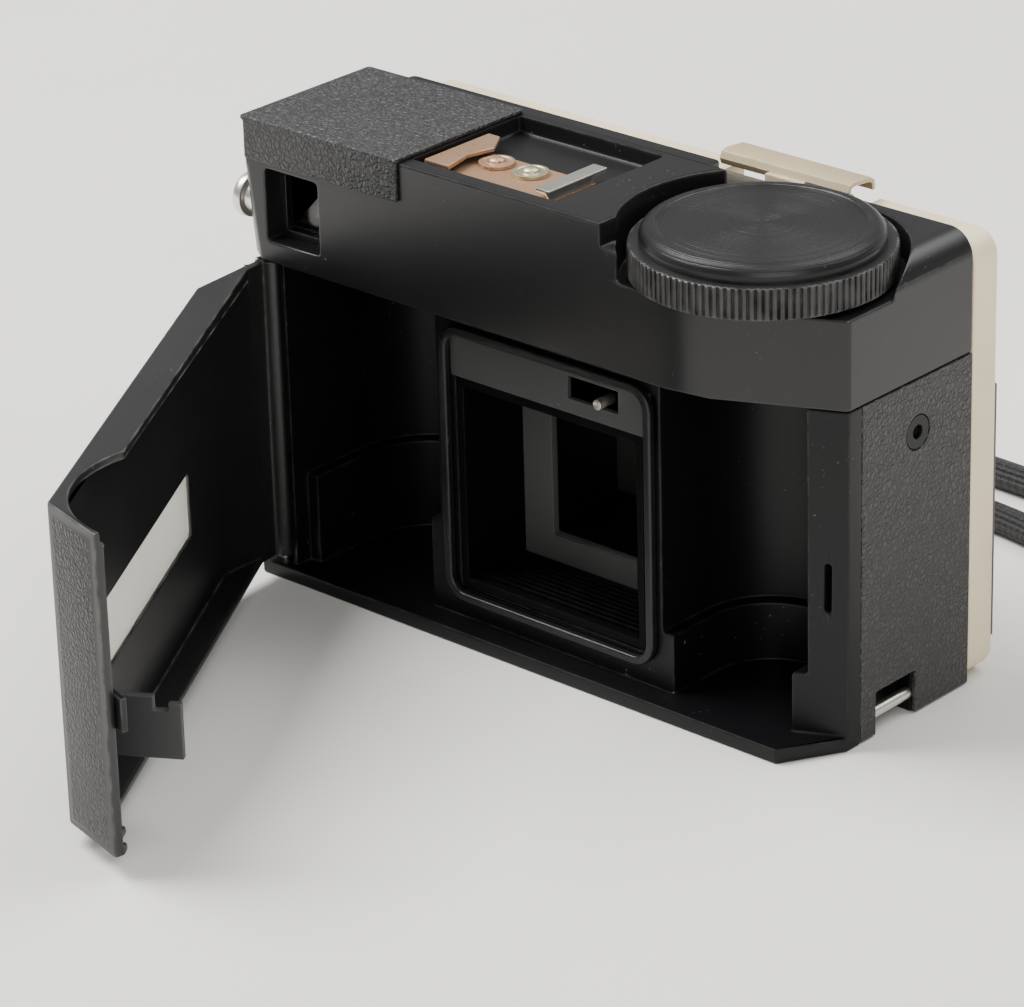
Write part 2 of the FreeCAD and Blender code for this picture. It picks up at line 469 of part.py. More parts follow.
DOOR_UP = ("door_bottom", "door_top")
outline = [("-door_left", "-door_back"), ("door_right", "-door_back"), ("door_end", "-door_end_back"),
           ("door_end - 1.1", "-door_end_back + 0.9"), ("-hinge_across + 4", "-hinge_along + 1"),
           ("-hinge_across + 2.4", "-hinge_along - 2.6")]
inside = [("-door_left + 0.3", "-door_back + door_wall"), ("door_right - 0.6", "-door_back + door_wall"),
          ("door_end - 1.1", "-door_end_back + 0.9"), ("door_end + 4", "-door_end_back + 6"),
          ("-hinge_across - 2", "-hinge_along + 6"), ("-hinge_across + 2.4", "-hinge_along - 1.0")]
strap = [("-hinge_across - 0.8", "-hinge_along - 1.0"), ("-hinge_across + 5", "-hinge_along - 3.8"),
         ("-hinge_across + 5.4", "-hinge_along - 2.5"), ("-hinge_across + 0.9", "-hinge_along - 0.4")]
door_solid = prism("door_solid", outline, *DOOR_UP)
door_hollow = prism("door_hollow", inside, "door_bottom + 1.2", "door_top - 1.2")
door_front = box("door_front", (f"-{HALF} - 9", f"{HALF} + 9"),
                 ("-door_back + door_depth", "10"), ("door_bottom - 1", "door_top + 1"))
end_keep = [("door_right + 1.4", "-door_back - 1"), ("door_end + 3", "-door_back - 1"), ("door_end + 3", "2"),
            ("door_end - 2.6", "2"), ("door_end - 2.6", "-door_end_back - 0.4"),
            ("door_right + 1.4", "-door_end_back - 0.4")]
door_end_keep = prism("door_end_keep", end_keep, "door_bottom", "door_top")
front_tool = cut("door_front_tool", door_front, door_end_keep)
knuckle = rod("door_knuckle", "z", HINGE, "knuckle_radius", ("door_bottom", "seam_height - 0.5"))
knuckle_bore = rod("knuckle_bore", "z", HINGE, "hinge_radius + play", ("0", "seam_height + 2"))
window_hole = box("window_hole", ("-window_left", "window_right"), ("-door_back - 1", "-door_back + 3"),
                  ("window_low", "window_high"))
notch_hole = rod("wheel_notch", "z", ("notch_across", "-notch_along"), "notch_radius",
                 ("door_top - 1.6", "door_top + 1"))
door_fused = fuse("door_fused", cut("door_tray", door_solid, door_hollow, front_tool),
                  prism("door_strap", strap, *DOOR_UP), knuckle)
door = cut("door_cut", door_fused, knuckle_bore, window_hole, notch_hole)
node(swing(door), "back_door")
pane = [("-window_left", "-door_back + 0.2"), ("window_right", "-door_back + 0.2"),
        ("window_right", "-door_back + 1.2"), ("-window_left", "-door_back + 1.2")]
node(swing(prism("window_pane", pane, "window_low", "window_high")), "door_window")
TONGUE_UP = ("tongue_low", "tongue_high")
spring_plate = box("spring_plate", ("tongue_across - 4.6", "tongue_across + 5.2"),
                   ("-door_back + door_wall", "-door_back + door_wall + 0.6"), TONGUE_UP)
spring_tongue = box("spring_tongue", ("tongue_across", "tongue_across + 1.0"),
                    ("-door_back + door_wall", "-8.2"), TONGUE_UP)
tongue_notch = box("tongue_notch", ("tongue_across - 1", "tongue_across + 2"), ("-11.6", "-9.8"),
                   ("tongue_high - 1.8", "tongue_high + 1"))
tongue_heel = box("tongue_heel", ("tongue_across - 1", "tongue_across + 2"), ("-9.8", "-8"),
                  ("tongue_high - 0.8", "tongue_high + 1"))
spring_whole = fuse("spring_fused", spring_plate, spring_tongue)
node(swing(cut("spring_cut", spring_whole, tongue_notch, tongue_heel)), "door_spring")
hook = [("door_end - 3.0", "-door_end_back - 1.0"), ("door_end - 0.2", "-door_end_back + 1.8"),
        ("door_end - 0.8", "-door_end_back + 2.4"), ("door_end - 3.6", "-door_end_back - 0.4")]
node(swing(prism("hook_leaf", hook, "19.2", "23.6")), "door_hook")
node(rod("hinge_pin_rod", "z", HINGE, "hinge_radius", ("0.8", "seam_height + 2.2")), "hinge_pin")


# --- Strap cord: straight runs joined by tangent arcs ---
def cord_path(points):
    """The wire of straight runs and tangent arcs through a list of points, and its length."""
    spots = [FreeCAD.Vector(*point) for point in points]
    edges = []
    radii = []
    here = spots[0]
    for before, corner, after in zip(spots, spots[1:], spots[2:]):
        toward = (corner - before).normalize()
        away = (after - corner).normalize()
        turn = toward.getAngle(away)
        reach = 0.45 * min((corner - before).Length, (after - corner).Length)
        radii.append(reach / math.tan(turn / 2))
        start = corner - toward * reach
        end = corner + away * reach
        middle_way = (away - toward).normalize()
        middle = corner + middle_way * (radii[-1] / math.cos(turn / 2) - radii[-1])
        edges.append(Part.LineSegment(here, start).toShape())
        edges.append(Part.Arc(start, middle, end).toShape())
        here = end
    edges.append(Part.LineSegment(here, spots[-1]).toShape())
    print("strap radii", [round(radius, 1) for radius in radii])
    return Part.Wire(edges)


path = cord_path(STRAP_ROUTE)
first = FreeCAD.Vector(*STRAP_ROUTE[0])
heading = FreeCAD.Vector(*STRAP_ROUTE[1]) - first
section = Part.Wire([Part.Circle(first, heading, size("cord_radius")).toShape()])
cord = doc.addObject("Part::Feature", "cord")
cord.Shape = path.makePipeShell([section], True, False)
node(cord, "strap_cord")
expected = math.pi * size("cord_radius") ** 2 * path.Length
print("strap length", round(path.Length, 1), "volume ratio", round(cord.Shape.Volume / expected, 4))

doc.recompute()
failed = [item.Label for item in doc.Objects if {"Invalid", "Error"} & set(item.State)]
failed += [item.Label for item in NODES if item.Shape.isNull() or not item.Shape.isValid()]
if failed:
    raise RuntimeError("pieces not built: " + ", ".join(failed))
os.makedirs("parts", exist_ok=True)
for item in NODES:
    item.Shape.exportStep(os.path.join("parts", item.Label + ".step"))
    print(item.Label, round(item.Shape.Volume, 1), len(item.Shape.Solids))
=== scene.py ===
import enum
import json
import logging
import math
from collections.abc import Callable, Iterable, Iterator
from contextlib import contextmanager
from dataclasses import dataclass, field

import bpy
from mathutils import Matrix, Vector


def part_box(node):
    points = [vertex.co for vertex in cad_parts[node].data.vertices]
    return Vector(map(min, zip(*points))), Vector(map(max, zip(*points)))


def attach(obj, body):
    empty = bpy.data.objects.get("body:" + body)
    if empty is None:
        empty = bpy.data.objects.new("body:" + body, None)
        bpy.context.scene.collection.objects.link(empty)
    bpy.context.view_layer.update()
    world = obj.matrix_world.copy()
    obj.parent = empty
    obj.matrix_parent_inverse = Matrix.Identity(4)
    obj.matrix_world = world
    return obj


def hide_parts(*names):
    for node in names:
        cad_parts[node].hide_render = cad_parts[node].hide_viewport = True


LOG = logging.getLogger("camera")
MM = 0.001
MERGE = 2e-6
FLAT_ANGLE = 0.7
BRAID_TURNS = 120
BRAID_STRANDS = 8
Point = tuple[float, float, float]

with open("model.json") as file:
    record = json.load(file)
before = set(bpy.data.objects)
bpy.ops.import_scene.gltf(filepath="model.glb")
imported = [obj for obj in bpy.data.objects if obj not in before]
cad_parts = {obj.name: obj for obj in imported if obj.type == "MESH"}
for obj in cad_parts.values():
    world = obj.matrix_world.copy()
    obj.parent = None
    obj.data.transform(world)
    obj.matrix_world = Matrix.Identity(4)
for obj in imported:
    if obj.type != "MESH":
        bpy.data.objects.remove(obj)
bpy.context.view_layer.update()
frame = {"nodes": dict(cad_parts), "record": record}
BODY_OF = {node: body for body, nodes in frame["record"]["behaviour"]["bodies"].items() for node in nodes}


# ---------------------------------------------------------------- workbench
def deselect() -> None:
    """Clear the selection in object mode."""
    for item in bpy.context.selected_objects:
        item.select_set(False)


def alone(piece: bpy.types.Object) -> None:
    """Select one object only and make it active.

    Args:
        piece: the object to work on.
    """
    deselect()
    piece.select_set(True)
    bpy.context.view_layer.objects.active = piece


@contextmanager
def editing(piece: bpy.types.Object) -> Iterator[None]:
    """Hold a piece in edit mode, with faces as the selection.

    Args:
        piece: the mesh object to edit.
    """
    alone(piece)
    bpy.ops.object.mode_set(mode="EDIT")
    bpy.ops.mesh.select_mode(type="FACE")
    try:
        yield
    finally:
        bpy.ops.object.mode_set(mode="OBJECT")


def pick_faces(piece: bpy.types.Object, test: Callable[[Vector, Vector], bool]) -> None:
    """Select the faces of a mesh by their middle and normal.

    Args:
        piece: the mesh object, in object mode.
        test: says of a face's middle and normal whether it is chosen.
    """
    mesh = piece.data
    for part in (mesh.vertices, mesh.edges, mesh.polygons):
        part.foreach_set("select", [False] * len(part))
    for face in mesh.polygons:
        face.select = test(face.center, face.normal)


def pick_edges(piece: bpy.types.Object, test: Callable[[Vector, Vector], bool]) -> None:
    """Select the edges of a mesh by their two ends, and leave edges as the selection.

    Args:
        piece: the mesh object, in object mode.
        test: says of an edge's two ends whether it is chosen.
    """
    alone(piece)
    bpy.ops.object.mode_set(mode="EDIT")
    bpy.ops.mesh.select_mode(type="EDGE")
    bpy.ops.object.mode_set(mode="OBJECT")
    mesh = piece.data
    for part in (mesh.vertices, mesh.polygons):
        part.foreach_set("select", [False] * len(part))
    for line in mesh.edges:
        line.select = test(*(mesh.vertices[index].co for index in line.vertices))


def settle(piece: bpy.types.Object) -> None:
    """Put a piece's place into its mesh, leaving its object at the origin."""
    alone(piece)
    bpy.ops.object.transform_apply(location=True, rotation=True, scale=True)


def smooth(piece: bpy.types.Object, angle: float = 38.0) -> None:
    """Shade a piece smooth below an angle in degrees."""
    alone(piece)
    bpy.ops.object.shade_smooth_by_angle(angle=math.radians(angle))


def bevelled(piece: bpy.types.Object, width: float, segments: int = 2, angle: float = 32.0) -> None:
    """Round a piece's sharp edges with an applied bevel.

    Args:
        piece: the mesh object.
        width: the bevel's width in millimetres.
        segments: its number of steps.
        angle: the least angle in degrees that counts as sharp.
    """
    alone(piece)
    modifier = piece.modifiers.new("edge", "BEVEL")
    modifier.width = width * MM
    modifier.segments = segments
    modifier.limit_method = "ANGLE"
    modifier.angle_limit = math.radians(angle)
    modifier.use_clamp_overlap = False
    modifier.miter_outer = "MITER_ARC"
    bpy.ops.object.modifier_apply(modifier=modifier.name)
    smooth(piece)
    flats = piece.modifiers.new("flats", "WEIGHTED_NORMAL")
    flats.keep_sharp = True
    bpy.ops.object.modifier_apply(modifier=flats.name)


def block(name: str, low: Point, high: Point, edge: float = 0.15) -> bpy.types.Object:
    """A block between two corners in millimetres, its edges softened.

    Args:
        name: the piece's name.
        low: its lowest corner.
        high: its highest corner.
        edge: the width of its bevels in millimetres.

    Returns:
        The new object, with its place in its mesh.
    """
    deselect()
    middle = [(a + b) / 2 * MM for a, b in zip(low, high)]
    bpy.ops.mesh.primitive_cube_add(size=1.0, location=middle)
    piece = bpy.context.active_object
    piece.name = name
    piece.scale = [(b - a) * MM for a, b in zip(low, high)]
    settle(piece)
    with editing(piece):
        bpy.ops.mesh.select_all(action="SELECT")
        bpy.ops.mesh.bevel(offset=edge * MM, segments=2, affect="EDGES")
    smooth(piece)
    return piece


def disc(name: str, centre: Point, radius: float, height: float, sides: int = 64,
         turn: Point = (0.0, 0.0, 0.0)) -> bpy.types.Object:
    """A plain round blank, still to be shaped.

    Args:
        name: the piece's name.
        centre: its middle, in millimetres.
        radius: its radius in millimetres.
        height: its thickness in millimetres.
        sides: how many sides it has.
        turn: its rotation in radians.

    Returns:
        The new object, with its place in its mesh.
    """
    deselect()
    bpy.ops.mesh.primitive_cylinder_add(vertices=sides, radius=radius * MM, depth=height * MM,
                                        location=[value * MM for value in centre], rotation=turn)
    piece = bpy.context.active_object
    piece.name = name
    settle(piece)
    return piece


def softened(node: str, width: float, segments: int = 2, slices: tuple = ()) -> bpy.types.Object:
    """A merged copy of a CAD node with its edges rounded, standing for that node.

    Args:
        node: the CAD node's name.
        width: the width of its bevels in millimetres.
        segments: the bevel's steps.
        slices: planes to trim it with, each three points in millimetres.

    Returns:
        The new object, riding on the node's body.
    """
    piece = bpy.data.objects.new(f"{node}_moulded", frame["nodes"][node].data.copy())
    bpy.context.scene.collection.objects.link(piece)
    piece.data.materials.clear()
    alone(piece)
    if piece.data.has_custom_normals:
        bpy.ops.mesh.customdata_custom_splitnormals_clear()
    with editing(piece):
        bpy.ops.mesh.select_all(action="SELECT")
        bpy.ops.mesh.remove_doubles(threshold=MERGE)
        bpy.ops.mesh.dissolve_limited(angle_limit=math.radians(FLAT_ANGLE))
        for first, second, third in slices:
            start = Vector(first) * MM
            out = (Vector(second) * MM - start).cross(Vector(third) * MM - start).normalized()
            bpy.ops.mesh.select_all(action="SELECT")
            bpy.ops.mesh.bisect(plane_co=start, plane_no=out, use_fill=True, clear_outer=True)
    bevelled(piece, width, segments)
    placed(piece, BODY_OF[node])
    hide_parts(node)
    return piece


def picture_frame(node: str, rim: float, corner: float, edge: float) -> bpy.types.Object:
    """A flat frame with round corners, standing for a CAD node that faces backwards.

    Args:
        node: the CAD node's name.
        rim: the frame's width in millimetres.
        corner: the radius of its outer corners in millimetres.
        edge: the width of the bevels on its edges in millimetres.

    Returns:
        The new object, riding on the node's body.
    """
    low, high = (Vector(place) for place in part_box(node))
    deselect()
    bpy.ops.mesh.primitive_cube_add(size=1.0, location=(low + high) / 2)
    piece = bpy.context.active_object
    piece.name = f"{node}_moulded"
    piece.scale = high - low
    settle(piece)
    pick_edges(piece, lambda first, second: abs(first.y - second.y) > 1e-5)
    bpy.ops.object.mode_set(mode="EDIT")
    bpy.ops.mesh.bevel(offset=corner * MM, segments=max(2, round(corner * 3)), affect="EDGES")
    bpy.ops.object.mode_set(mode="OBJECT")
    pick_faces(piece, lambda centre, normal: abs(normal.y) > 0.99)
    with editing(piece):
        bpy.ops.mesh.inset(thickness=rim * MM, depth=0, use_individual=True)
        bpy.ops.mesh.bridge_edge_loops()
    bevelled(piece, edge, 3, 40.0)
    placed(piece, BODY_OF[node])
    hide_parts(node)
    return piece


def placed(piece: bpy.types.Object, body: str) -> None:
    """Ride a piece on a body.

    Args:
        piece: the finished object.
        body: the CAD body that it moves with.
    """
    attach(piece, body)


def dress(piece: bpy.types.Object, material: bpy.types.Material) -> None:
    """Give every face of a piece one material."""
    piece.data.materials.clear()
    piece.data.materials.append(material)
    LOG.info("%s wears %s", piece.name, material.name)


def mould(parts: Iterable[tuple[str, float, str]]) -> None:
    """Round the edges of CAD nodes and dress them.

    Args:
        parts: each node, its bevel's width in millimetres and its finish.
    """
    for node, edge, finish in parts:
        dress(softened(node, edge), FINISHES[finish])


# ---------------------------------------------------------------- finishes
class Wiring:
    """Adds nodes to a tree and joins their sockets."""

    def __init__(self, tree: bpy.types.NodeTree) -> None:
        """Start on a tree."""
        self.tree = tree

    def add(self, kind: str, **values: object) -> bpy.types.Node:
        """Add a node and set its properties.

        Args:
            kind: the node's type name without its ShaderNode prefix.
            **values: properties of the node.

        Returns:
            The new node.
        """
        made = self.tree.nodes.new("ShaderNode" + kind)
        for key, value in values.items():
            setattr(made, key, value)
        return made

    def join(self, source: bpy.types.NodeSocket, target: bpy.types.NodeSocket) -> None:
        """Link one socket to another."""
        self.tree.links.new(source, target)

    def calc(self, operation: str, first: object, second: object) -> bpy.types.NodeSocket:
        """A Math node on two sockets or numbers.

        Args:
            operation: the Math node's operation.
            first: a socket or a number.
            second: a socket or a number.

        Returns:
            The node's output.
        """
        made = self.add("Math", operation=operation)
        for socket, value in zip(made.inputs, (first, second)):
            if isinstance(value, bpy.types.NodeSocket):
                self.join(value, socket)
            else:
                socket.default_value = value
        return made.outputs[0]

    def ramp(self, value: bpy.types.NodeSocket, low: float, high: float) -> bpy.types.NodeSocket:
        """Stretch a value's range between two limits to 0 and 1.

        Args:
            value: the socket to stretch.
            low: the value that becomes 0.
            high: the value that becomes 1.

        Returns:
            The stretched value.
        """
        made = self.add("MapRange", clamp=True)
        self.join(value, made.inputs["Value"])
        made.inputs["From Min"].default_value = low
        made.inputs["From Max"].default_value = high
        return made.outputs["Result"]

    def noise(self, scale: float, detail: float = 3.0, where: object = None) -> bpy.types.NodeSocket:
        """A noise value on object coordinates.

        Args:
            scale: cells in a metre.
            detail: the noise's octaves.
            where: a vector socket in place of object coordinates.

        Returns:
            The noise's value.
        """
        made = self.add("TexNoise")
        made.inputs["Scale"].default_value = scale
        made.inputs["Detail"].default_value = detail
        self.join(where or self.add("TexCoord").outputs["Object"], made.inputs["Vector"])
        return made.outputs[0]

    def blend(self, mask: bpy.types.NodeSocket, first: object, second: object) -> bpy.types.NodeSocket:
        """Mix two colours by a mask.

        Args:
            mask: 0 gives the first colour and 1 the second.
            first: a socket or a colour.
            second: a socket or a colour.

        Returns:
            The mixed colour.
        """
        made = self.add("Mix", data_type="RGBA")
        self.join(mask, made.inputs[0])
        for socket, value in zip(made.inputs[6:8], (first, second)):
            if isinstance(value, bpy.types.NodeSocket):
                self.join(value, socket)
            else:
                socket.default_value = (*value, 1.0)
        return made.outputs[2]


def new_group(name: str, inputs: dict[str, float], outputs: tuple[str, ...]) -> tuple:
    """A shader node group with number sockets.

    Args:
        name: the group's name.
        inputs: its inputs and their usual values.
        outputs: its outputs.

    Returns:
        The group, its wiring, its input node and its output node.
    """
    group = bpy.data.node_groups.new(name, "ShaderNodeTree")
    for title, value in inputs.items():
        group.interface.new_socket(title, in_out="INPUT", socket_type="NodeSocketFloat").default_value = value
    for title in outputs:
        group.interface.new_socket(title, in_out="OUTPUT", socket_type="NodeSocketFloat")
    return group, Wiring(group), group.nodes.new("NodeGroupInput"), group.nodes.new("NodeGroupOutput")


def edge_wear_group() -> bpy.types.NodeTree:
    """Where handling has rubbed an edge bright, and where dust lies.

    Returns:
        The group, with an Edge mask, a Dust mask and a Smudge value.
    """
    group, wire, given, out = new_group("edge_wear", {"Wear": 0.5, "Dust": 0.62}, ("Edge", "Dust", "Smudge"))
    rounded = wire.add("Bevel", samples=6)
    rounded.inputs["Radius"].default_value = 0.0005
    turn = wire.add("VectorMath", operation="DOT_PRODUCT")
    wire.join(rounded.outputs[0], turn.inputs[0])
    wire.join(wire.add("NewGeometry").outputs["Normal"], turn.inputs[1])
    away = wire.calc("SUBTRACT", 1.0, turn.outputs["Value"])
    patch = wire.ramp(wire.noise(420.0, 4.0), 0.38, 0.62)
    rubbed = wire.calc("MULTIPLY", wire.ramp(away, 0.015, 0.12), patch)
    wire.join(wire.calc("MULTIPLY", rubbed, given.outputs["Wear"]), out.inputs["Edge"])
    speck = wire.noise(2400.0, 2.0)
    cover = wire.calc("MULTIPLY", wire.noise(90.0, 3.0), 0.24)
    lying = wire.calc("ADD", speck, wire.calc("SUBTRACT", cover, 0.12))
    mask = wire.calc("SUBTRACT", lying, given.outputs["Dust"])
    wire.join(wire.ramp(mask, 0.0, 0.06), out.inputs["Dust"])
    wire.join(wire.noise(38.0, 5.0), out.inputs["Smudge"])
    return group


def pebble_group() -> bpy.types.NodeTree:
    """Pebbled leathercloth: a height for the pebbles and a mask for their tops.

    Returns:
        The group, with a Height and a Top.
    """
    group, wire, given, out = new_group("pebble_grain", {"Scale": 1350.0}, ("Height", "Top"))
    where = wire.add("TexCoord").outputs["Object"]
    shift = wire.add("VectorMath", operation="ADD")
    bend = wire.add("TexNoise")
    bend.inputs["Scale"].default_value = 900.0
    scaled = wire.add("VectorMath", operation="SCALE")
    scaled.inputs["Scale"].default_value = 0.0009
    wire.join(where, bend.inputs["Vector"])
    wire.join(bend.outputs[1], scaled.inputs[0])
    wire.join(where, shift.inputs[0])
    wire.join(scaled.outputs[0], shift.inputs[1])
    cell = wire.add("TexVoronoi", feature="DISTANCE_TO_EDGE")
    wire.join(shift.outputs[0], cell.inputs["Vector"])
    wire.join(given.outputs["Scale"], cell.inputs["Scale"])
    dome = wire.ramp(cell.outputs["Distance"], 0.0, 0.32)
    fine = wire.calc("MULTIPLY", wire.noise(3200.0, 2.0), 0.25)
    wire.join(wire.calc("ADD", dome, fine), out.inputs["Height"])
    wire.join(dome, out.inputs["Top"])
    return group


class Surface(enum.Enum):
    """What gives a finish its relief."""

    FINE = "fine"
    PEBBLE = "pebble"
    TURNED = "turned"
    BRUSHED = "brushed"
    BRAID = "braid"


@dataclass(frozen=True)
class Finish:
    """One procedural finish and the numbers that set it apart."""

    name: str
    colour: Point
    worn: Point
    rough: tuple[float, float]
    surface: Surface = Surface.FINE
    metal: float = 0.0
    coat: float = 0.0
    specular: float = 0.5
    relief: float = 0.1
    depth: float = 0.00004
    wear: float = 0.6
    dust: float = 0.74
    dust_colour: Point = (0.16, 0.155, 0.15)
    centre: Point = (0.0, 0.0, 0.0)

    def relief_height(self, wire: Wiring, groups: dict[str, bpy.types.NodeTree]) -> bpy.types.NodeSocket:
        """The height that the bump reads, which also paints shade into the hollows of pebbled and braided
        finishes.

        Args:
            wire: the material's wiring.
            groups: the shared effects.

        Returns:
            A height value.
        """
        if self.surface is Surface.PEBBLE:
            return wire.add("Group", node_tree=groups["pebble"]).outputs["Height"]
        if self.surface is Surface.TURNED:
            return self.turned_height(wire)
        if self.surface is Surface.BRUSHED:
            stretch = wire.add("Mapping")
            stretch.inputs["Scale"].default_value = (1.0, 14.0, 14.0)
            wire.join(wire.add("TexCoord").outputs["Object"], stretch.inputs["Vector"])
            return wire.noise(700.0, 3.0, stretch.outputs[0])
        if self.surface is Surface.BRAID:
            return self.braid_height(wire)
        return wire.noise(1900.0, 3.0)

    def turned_height(self, wire: Wiring) -> bpy.types.NodeSocket:
        """Fine rings about the finish's centre, as a lathe leaves them.

        Args:
            wire: the material's wiring.

        Returns:
            A height value.
        """
        moved = wire.add("VectorMath", operation="SUBTRACT")
        wire.join(wire.add("TexCoord").outputs["Object"], moved.inputs[0])
        moved.inputs[1].default_value = self.centre
        flat = wire.add("VectorMath", operation="MULTIPLY")
        flat.inputs[1].default_value = (1.0, 1.0, 0.0)
        wire.join(moved.outputs[0], flat.inputs[0])
        length = wire.add("VectorMath", operation="LENGTH")
        wire.join(flat.outputs[0], length.inputs[0])
        lathe = wire.add("TexNoise", noise_dimensions="1D")
        lathe.inputs["Scale"].default_value = 6500.0
        lathe.inputs["Detail"].default_value = 4.0
        wire.join(length.outputs["Value"], lathe.inputs["W"])
        return lathe.outputs[0]

    def braid_height(self, wire: Wiring) -> bpy.types.NodeSocket:
        """Two families of strands that wind round a cord both ways and cross.

        Args:
            wire: the material's wiring.

        Returns:
            A height value.
        """
        axes = wire.add("SeparateXYZ")
        wire.join(wire.add("TexCoord").outputs["UV"], axes.inputs[0])
        along = wire.calc("MULTIPLY", axes.outputs[0], math.tau * BRAID_TURNS)
        around = wire.calc("MULTIPLY", axes.outputs[1], math.tau * BRAID_STRANDS)
        left = wire.calc("SINE", wire.calc("ADD", along, around), 0.0)
        right = wire.calc("SINE", wire.calc("SUBTRACT", along, around), 0.0)
        weave = wire.calc("MULTIPLY", wire.calc("MULTIPLY", left, right), 0.5)
        return wire.calc("ADD", weave, wire.calc("MULTIPLY", wire.noise(5000.0, 2.0), 0.3))

    def material(self, groups: dict[str, bpy.types.NodeTree]) -> bpy.types.Material:
        """Build the material.

        Args:
            groups: the shared effects by name.

        Returns:
            The new material.
        """
        made = bpy.data.materials.new(self.name)
        made.use_nodes = True
        wire = Wiring(made.node_tree)
        shader = made.node_tree.nodes["Principled BSDF"]
        wear = wire.add("Group", node_tree=groups["wear"])
        wear.inputs["Wear"].default_value = self.wear
        wear.inputs["Dust"].default_value = self.dust
        height = self.relief_height(wire, groups)
        tone = wire.blend(wire.ramp(wear.outputs["Smudge"], 0.35, 0.7), self.colour,
                          tuple(value * 1.18 for value in self.colour))
        # Painted shade: the low parts of pebbled and braided relief are darkened to 0.35 of the colour, as
        # shade in their hollows.
        if self.surface in (Surface.PEBBLE, Surface.BRAID):
            tone = wire.blend(wire.ramp(height, 0.1, 0.9), tuple(value * 0.35 for value in self.colour), tone)
        tone = wire.blend(wear.outputs["Edge"], tone, self.worn)
        tone = wire.blend(wear.outputs["Dust"], tone, self.dust_colour)
        wire.join(tone, shader.inputs["Base Color"])
        low, high = self.rough
        rough = wire.calc("ADD", wire.calc("MULTIPLY", wear.outputs["Smudge"], high - low), low)
        wire.join(wire.calc("ADD", rough, wire.calc("MULTIPLY", wear.outputs["Dust"], 0.3)),
                  shader.inputs["Roughness"])
        shader.inputs["Metallic"].default_value = self.metal
        shader.inputs["Coat Weight"].default_value = self.coat
        shader.inputs["Specular IOR Level"].default_value = self.specular
        bump = wire.add("Bump")
        bump.inputs["Strength"].default_value = self.relief
        bump.inputs["Distance"].default_value = self.depth
        wire.join(height, bump.inputs["Height"])
        wire.join(bump.outputs[0], shader.inputs["Normal"])
        return made


@dataclass(frozen=True)
class Clear:
    """A clear moulding, such as a lens or a window."""

    name: str
    tint: Point
    rough: float = 0.03

    def material(self, groups: dict[str, bpy.types.NodeTree]) -> bpy.types.Material:
        """Build the clear material with faint smears on it.

        Args:
            groups: the shared effects by name.

        Returns:
            The new material.
        """
        made = bpy.data.materials.new(self.name)
        made.use_nodes = True
        wire = Wiring(made.node_tree)
        shader = made.node_tree.nodes["Principled BSDF"]
        wear = wire.add("Group", node_tree=groups["wear"])
        haze = wire.calc("MULTIPLY", wear.outputs["Smudge"], 0.10)
        wire.join(wire.calc("ADD", haze, self.rough), shader.inputs["Roughness"])
        wire.join(wire.blend(wear.outputs["Dust"], self.tint, tuple(value * 0.8 for value in self.tint)),
                  shader.inputs["Base Color"])
        shader.inputs["Transmission Weight"].default_value = 1.0
        shader.inputs["IOR"].default_value = 1.49
        return made


